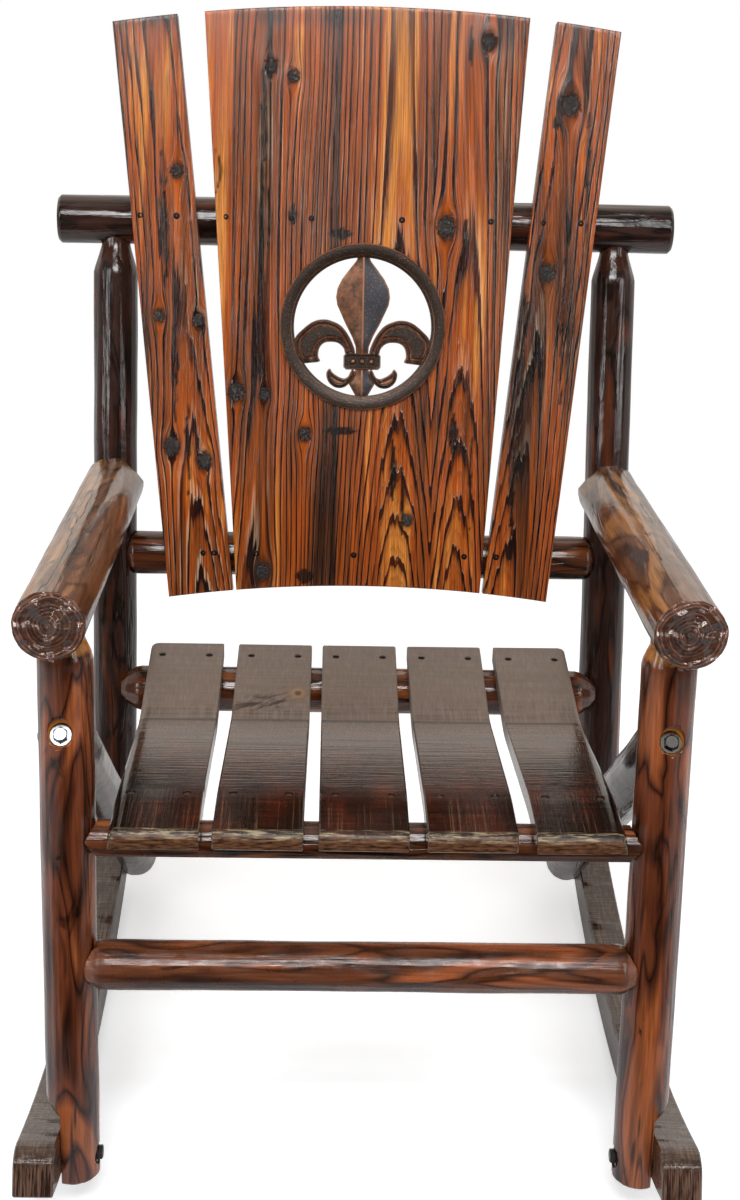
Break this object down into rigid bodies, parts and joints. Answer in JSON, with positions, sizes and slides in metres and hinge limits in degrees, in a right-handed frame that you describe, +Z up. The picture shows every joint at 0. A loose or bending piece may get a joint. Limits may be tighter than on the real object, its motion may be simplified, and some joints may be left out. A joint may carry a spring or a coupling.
{
  "type": "log rocking chair",
  "caption": "Rocking chair of varnished logs on sawn rockers, with shaped seat slats and a fan of back boards round a pierced cast medallion.",
  "frame": {"origin": "on the floor, at the centre of the chair's width and of its depth from the rockers' front ends to their tails", "axes": "the chair faces -Y, +X is on the viewer's right from in front, +Z is up"},
  "size_m": [0.698, 0.8851, 1.1328],
  "materials": {
    "log_dark": "scorched and varnished log, gloss",
    "log_red": "scorched and varnished log, gloss, red-brown",
    "board": "brushed softwood board with dark grain, gloss varnish",
    "slat": "sawn softwood slat, dark brown, gloss varnish",
    "rocker": "sawn plank, dark grey-brown, satin varnish",
    "bronze": "antique bronze finish with rubbed copper edges",
    "zinc": "zinc-plated steel",
    "black_steel": "blackened steel"
  },
  "bodies": {
    "root": {"rocker_left": "rocker", "front_leg_left": "log_red", "side_brace_left": "log_dark", "rear_post_left": "log_dark", "armrest_left": "log_red", "rocker_right": "rocker", "front_leg_right": "log_red", "side_brace_right": "log_dark", "rear_post_right": "log_dark", "armrest_right": "log_red", "top_rail": "log_dark", "back_rail": "log_dark", "rear_seat_rail": "log_dark", "front_seat_rail": "log_dark", "front_stretcher": "log_dark", "seat_slat_1": "slat", "seat_slat_2": "slat", "seat_slat_3": "slat", "seat_slat_4": "slat", "seat_slat_5": "slat", "back_board_left": "board", "back_board_centre": "board", "back_board_right": "board", "medallion": "bronze", "brace_bolt_left": "zinc", "leg_bolt_left": "zinc", "foot_bolt_left": "zinc", "post_bolt_left": "zinc", "brace_bolt_right": "zinc", "leg_bolt_right": "zinc", "foot_bolt_right": "zinc", "post_bolt_right": "zinc", "front_slat_screw_1a": "black_steel", "front_slat_screw_1b": "black_steel", "front_slat_screw_2a": "black_steel", "front_slat_screw_2b": "black_steel", "front_slat_screw_3a": "black_steel", "front_slat_screw_3b": "black_steel", "front_slat_screw_4a": "black_steel", "front_slat_screw_4b": "black_steel", "front_slat_screw_5a": "black_steel", "front_slat_screw_5b": "black_steel", "rear_slat_screw_1a": "black_steel", "rear_slat_screw_1b": "black_steel", "rear_slat_screw_2a": "black_steel", "rear_slat_screw_2b": "black_steel", "rear_slat_screw_3a": "black_steel", "rear_slat_screw_3b": "black_steel", "rear_slat_screw_4a": "black_steel", "rear_slat_screw_4b": "black_steel", "rear_slat_screw_5a": "black_steel", "rear_slat_screw_5b": "black_steel"}
  },
  "joints": []
}
